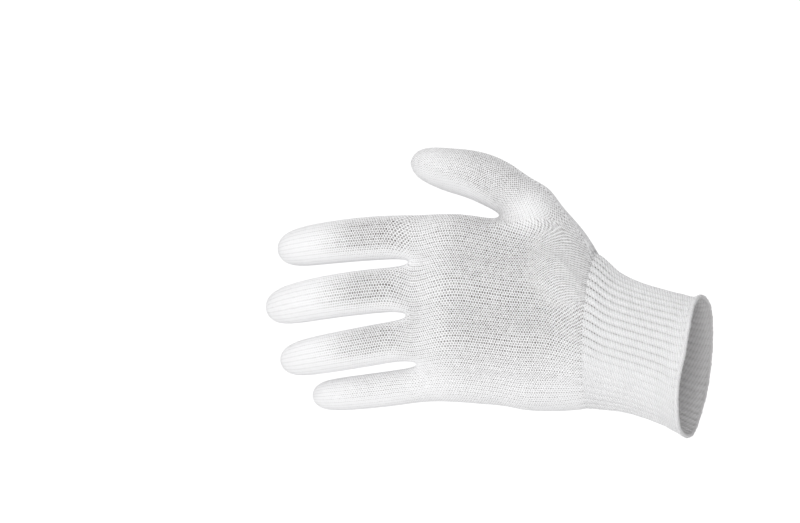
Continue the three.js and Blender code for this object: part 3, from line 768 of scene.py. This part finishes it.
class GLOVE_OT_plain_knit(bpy.types.Operator):
    """Knits the hand, the four fingers and the thumb as one skin, parted where the pieces meet"""

    bl_idname = "glove.plain_knit"
    bl_label = "Hand, fingers and thumb"

    def execute(self, context):
        settings = context.scene.glove
        co, quads, piece, uv = smooth_skin(build_cage(), 3)
        normals = vertex_normals(co, quads)
        # The rounding of the cage draws the skin in a little, and the cuff's ribs gather it at the join
        inward = -(co[:, 0] + CUFF_LENGTH - (co[:, 2] - cuff_sections[-1][1]) * math.tan(cuff_sections[-1][2]))
        gather, groove = rib_relief(rib_phase(co, settings.ribs), -inward, settings.rib_height / MM)
        # The knuckle of the thumb stands out
        knuckle = 2.0 * np.exp(-((co[:, 0] + 80) ** 2 + (co[:, 2] - 92) ** 2) / 9 ** 2) * (co[:, 2] > 60)
        co = co + normals * (0.12 + gather + knuckle)[:, None]
        normals = vertex_normals(co, quads)
        uv = drawn(co, quads, uv, normals)
        inner = co - normals * settings.knit_wall / MM
        floats = {
            "open": openness_with_painted_light(co, normals),
            # Painted shade in the grooves where the cuff's ribs gather the edge of the hand
            "painted_groove_shade": 0.2 * groove ** 2 * ramp(-inward, -6, 0),
            "gathered": gathered(co),
        }
        material = knit_cotton("bleached cotton, plain knit", settings, size=1.0, depth=0.82, legs=0.35, relief=0.3, lines=0.16)
        for i, name in enumerate(PLAIN_PIECES):
            mine = piece == i
            skin = (co, quads[mine], uv[mine], normals)
            make_piece(f"{name}_knit", skin, inner, floats, material, [name])
        return {"FINISHED"}


PER_RIB = 12
EDGE_REACH = 2.6
CUFF_START = 0.2
# The outline of the folded edge: how far inward from the mouth and how far out of the cuff's face, from where
# it is sewn down on the face, over the lip, back inside and through the cuff's own wall
EDGE_OUTLINE = [
    dict(inward=2.6, out=0.0),
    dict(inward=2.1, out=0.12),
    dict(inward=1.5, out=0.34),
    dict(inward=0.8, out=0.5),
    dict(inward=0.2, out=0.5),
    dict(inward=-0.25, out=0.28),
    dict(inward=-0.5, out=-0.1),
    dict(inward=-0.55, out=-0.6),
    dict(inward=-0.45, out=-1.1),
    dict(inward=-0.2, out=-1.5),
    dict(inward=0.3, out=-1.66),
    dict(inward=0.5, out=-1.3),
    dict(inward=1.4, out=-0.8),
    dict(inward=2.5, out=-0.5),
]


# How the mouth stands out of its plane, in millimetres, round given turns
MOUTH_PULL = [
    dict(turn=290, from_cos=0.3, by=0.9),
    dict(turn=132, from_cos=0.55, by=-2.2),
    dict(turn=15, from_cos=0.7, by=-1.0),
]


def ribbed_row(settings, inward):
    """(points, ways out, relief, groove) of a row on the ribbed face, a distance inward from the mouth."""
    count = settings.ribs * PER_RIB
    section = cuff_at(max(inward, 0) / CUFF_LENGTH)
    # The mouth flares by a millimetre, and stands further out behind than it does below and in front
    near_mouth = 1 - float(ramp(inward, 0.0, 16.0))
    section[3] += 1.1 * near_mouth
    section[4] += 0.5 * near_mouth
    turns = even_turns(section, count)
    pull = sum(row["by"] * ramp(np.cos(turns - math.radians(row["turn"])), row["from_cos"], 1) for row in MOUTH_PULL)
    relief, groove = rib_relief(np.arange(count) / PER_RIB, CUFF_LENGTH - inward, settings.rib_height / MM)
    # The cloth is stretched smooth below the back of the hand, and towards the mouth
    smooth = 0.65 * ramp(np.cos(turns - math.radians(134)), 0.75, 1.0)
    strength = (1 - smooth) * (1 - 0.4 * near_mouth)
    points = sleeve_points(section, turns)
    points[:, 0] += pull * near_mouth + max(-inward, 0)
    return points, outward(section, turns), relief * strength, groove * strength


class GLOVE_OT_rib_cuff(bpy.types.Operator):
    """Knits the ribbed cuff, with its ribs as relief"""

    bl_idname = "glove.rib_cuff"
    bl_label = "Ribbed cuff"

    def execute(self, context):
        settings = context.scene.glove
        rings, count = 76, settings.ribs * PER_RIB
        wales = 2 * np.arange(count) / PER_RIB
        rows, insides, opened, painted_groove_shade = [], [], [], []
        for i in range(rings):
            inward = lerp(CUFF_START, CUFF_LENGTH, i / (rings - 1))
            points, out, relief, groove = ribbed_row(settings, inward)
            relief = relief + 0.12 * float(ramp(inward, CUFF_LENGTH - 8, CUFF_LENGTH))
            rows.append((points + out * relief[:, None], wales, inward / COURSE, 2 / PER_RIB))
            insides.append(points - out * (settings.cuff_wall / MM + 0.12 * relief)[:, None])
            # The grooves start as a few open stitches at the join
            start = float(ramp(inward, CUFF_LENGTH - 14, CUFF_LENGTH - 1))
            rib_open = 0.08 + 0.6 * start * groove ** 2
            hand_open = 0.45 * openness_with_painted_light(points, out)
            opened.append(lerp(rib_open, hand_open, float(ramp(inward, CUFF_LENGTH - 4, CUFF_LENGTH))))
            # Painted shade in the grooves, a little deeper near the join
            painted_groove_shade.append(groove ** 2 * (0.2 + 0.06 * start))
        co, quads, uv = tube(rows)
        skin = (co, quads, uv, vertex_normals(co, quads))
        material = knit_cotton(
            "bleached cotton, rib knit", settings, 0.95, 0.9, legs=1.15, relief=0.3, inside=0.3, rope=True
        )
        floats = {"open": np.concatenate(opened), "painted_groove_shade": np.concatenate(painted_groove_shade)}
        make_piece("rib_cuff_knit", skin, np.vstack(insides), floats, material, ["rib_cuff"])
        return {"FINISHED"}


class GLOVE_OT_cuff_edge(bpy.types.Operator):
    """Folds the edge of the cuff over at the mouth"""

    bl_idname = "glove.cuff_edge"
    bl_label = "Folded edge"

    def execute(self, context):
        settings = context.scene.glove
        count = settings.ribs * PER_RIB
        wales = 2 * np.arange(count) / PER_RIB
        # A soft unevenness of the fold, and the bumps of its stitches
        k = np.arange(count) / count * 2 * math.pi
        uneven = 0.03 * np.sin(9 * k + 1) + 0.06 * np.sin(23 * k) + 0.06 * np.sin(61 * k + 2) + 0.07 * np.sin(92 * k)
        rows, within, painted_groove_shade = [], [], []
        for i, row in enumerate(EDGE_OUTLINE):
            points, out, relief, groove = ribbed_row(settings, row["inward"])
            free = float(ramp(-row["inward"], -EDGE_REACH, 0.3))
            behind = float(ramp(-row["out"], 0.2, 0.9))
            relief = lerp(relief * (1 - 0.6 * free), 0.12 * relief, behind)
            points[:, 0] += uneven * free
            lift = row["out"] + relief + free * uneven * (1 - 0.7 * behind)
            rows.append((points + out * lift[:, None], wales, i * 0.6, 2 / PER_RIB))
            # The turned-in part of the fold takes the wrong side's painted shade
            within.append(np.full(count, behind))
            # Painted shade in the grooves of the fold's face
            painted_groove_shade.append(0.16 * groove ** 2 * (1 - free))
        co, quads, uv = tube(rows[::-1], closed=True)
        normals = vertex_normals(co, quads)
        skin = (co, quads, uv, normals)
        material = knit_cotton(
            "bleached cotton, folded edge", settings, 0.9, 0.8, legs=1.15, relief=0.3, inside=0.3, rope=True
        )
        floats = {
            "open": np.full(len(co), 0.1),
            "inside": np.concatenate(within[::-1]),
            "painted_groove_shade": np.concatenate(painted_groove_shade[::-1]),
        }
        make_piece("cuff_edge_knit", skin, co - normals * 0.25, floats, material, ["cuff_edge"])
        return {"FINISHED"}


class GLOVE_OT_stage(bpy.types.Operator):
    """Sets the pale floor, the soft studio light and the camera"""

    bl_idname = "glove.stage"
    bl_label = "Floor, light and camera"

    def execute(self, context):
        scene = context.scene
        scene.view_settings.view_transform = "Standard"
        world = bpy.data.worlds.new("studio")
        scene.world = world
        world.use_nodes = True
        tree = world.node_tree
        tree.nodes.clear()
        path = add(tree, "ShaderNodeLightPath")
        fill = add(tree, "ShaderNodeBackground", {"Color": (1, 1, 1, 1), "Strength": 0.54})
        seen = add(tree, "ShaderNodeBackground", {"Color": (1, 1, 1, 1), "Strength": 1.1})
        both = add(tree, "ShaderNodeMixShader", {0: path.outputs["Is Camera Ray"], 1: fill.outputs[0], 2: seen.outputs[0]})
        add(tree, "ShaderNodeOutputWorld", {"Surface": both.outputs[0]})

        size, drop = 6.0, 1.3
        mesh = bpy.data.meshes.new("floor")
        corners = [(-size, -size, -drop), (size, -size, -drop), (size, size, -drop), (-size, size, -drop)]
        mesh.from_pydata(corners, [], [(0, 1, 2, 3)])
        floor = bpy.data.objects.new("floor", mesh)
        scene.collection.objects.link(floor)
        paper = bpy.data.materials.new("white paper")
        paper.use_nodes = True
        tree = paper.node_tree
        face = tree.nodes["Principled BSDF"]
        face.inputs["Base Color"].default_value = (*srgb("#F4F4F4"), 1)
        face.inputs["Roughness"].default_value = 0.9
        # The paper is lit evenly, so that it shows as pale as the backdrop
        path = add(tree, "ShaderNodeLightPath").outputs["Is Camera Ray"]
        lit = add(tree, "ShaderNodeEmission", {"Color": (*srgb("#F7F7F7"), 1), "Strength": 1.0})
        both = add(tree, "ShaderNodeMixShader", {0: path, 1: face.outputs[0], 2: lit.outputs[0]})
        tree.links.new(both.outputs[0], tree.nodes["Material Output"].inputs["Surface"])
        mesh.materials.append(paper)

        azimuth = math.radians(16)
        right = Vector((math.cos(azimuth), math.sin(azimuth), 0))
        back = Vector((math.sin(azimuth), -math.cos(azimuth), 0))
        up = Vector((0, 0, 1))
        # The photograph's frame is 800 pixels wide at 1.93 pixels to the millimetre
        width, distance = 800 / 1.93 * MM, 4.0
        target = right * (-0.1523) + up * 0.0539 + back * (-0.03)
        camera_data = bpy.data.cameras.new("camera")
        camera_data.lens = camera_data.sensor_width * distance / width
        camera = bpy.data.objects.new("camera", camera_data)
        camera.location = target + back * distance
        camera.rotation_euler = (-back).to_track_quat("-Z", "Y").to_euler()
        scene.collection.objects.link(camera)
        scene.camera = camera

        centre = Vector((-0.12, 0, 0.03))
        lights = [
            ("left", right * (-1.05) + back * 0.6, 1.0, 4.2),
            ("front", right * 0.1 + back * 1.3, 0.8, 4.2),
            ("upper", right * (-0.25) + back * 0.55 + up * 0.95, 0.9, 3.7),
            ("lower", right * (-0.2) + back * 0.55 + up * (-0.9), 0.9, 2.7),
            ("behind", right * (-0.2) - back * 1.4, 0.6, 3.0),
        ]
        for name, offset, width, power in lights:
            data = bpy.data.lights.new(name, "AREA")
            data.shape = "SQUARE"
            data.size = width
            data.energy = power
            light = bpy.data.objects.new(name, data)
            light.location = centre + offset
            light.rotation_euler = (-offset).to_track_quat("-Z", "Y").to_euler()
            scene.collection.objects.link(light)
        return {"FINISHED"}


class GLOVE_PT_panel(bpy.types.Panel):
    bl_idname = "GLOVE_PT_panel"
    bl_label = "Knitted glove"
    bl_space_type = "VIEW_3D"
    bl_region_type = "UI"
    bl_category = "Glove"

    def draw(self, context):
        for key in GloveSettings.__annotations__:
            self.layout.prop(context.scene.glove, key)
        for operator in OPERATORS:
            self.layout.operator(operator.bl_idname)


OPERATORS = (GLOVE_OT_plain_knit, GLOVE_OT_rib_cuff, GLOVE_OT_cuff_edge, GLOVE_OT_stage)
CLASSES = (GloveSettings, *OPERATORS, GLOVE_PT_panel)


def register():
    for cls in CLASSES:
        bpy.utils.register_class(cls)
    bpy.types.Scene.glove = bpy.props.PointerProperty(type=GloveSettings)


def unregister():
    del bpy.types.Scene.glove
    for cls in reversed(CLASSES):
        bpy.utils.unregister_class(cls)


def main():
    register()
    bpy.ops.glove.plain_knit()
    bpy.ops.glove.rib_cuff()
    bpy.ops.glove.cuff_edge()
    bpy.ops.glove.stage()


if __name__ == "__main__":
    main()
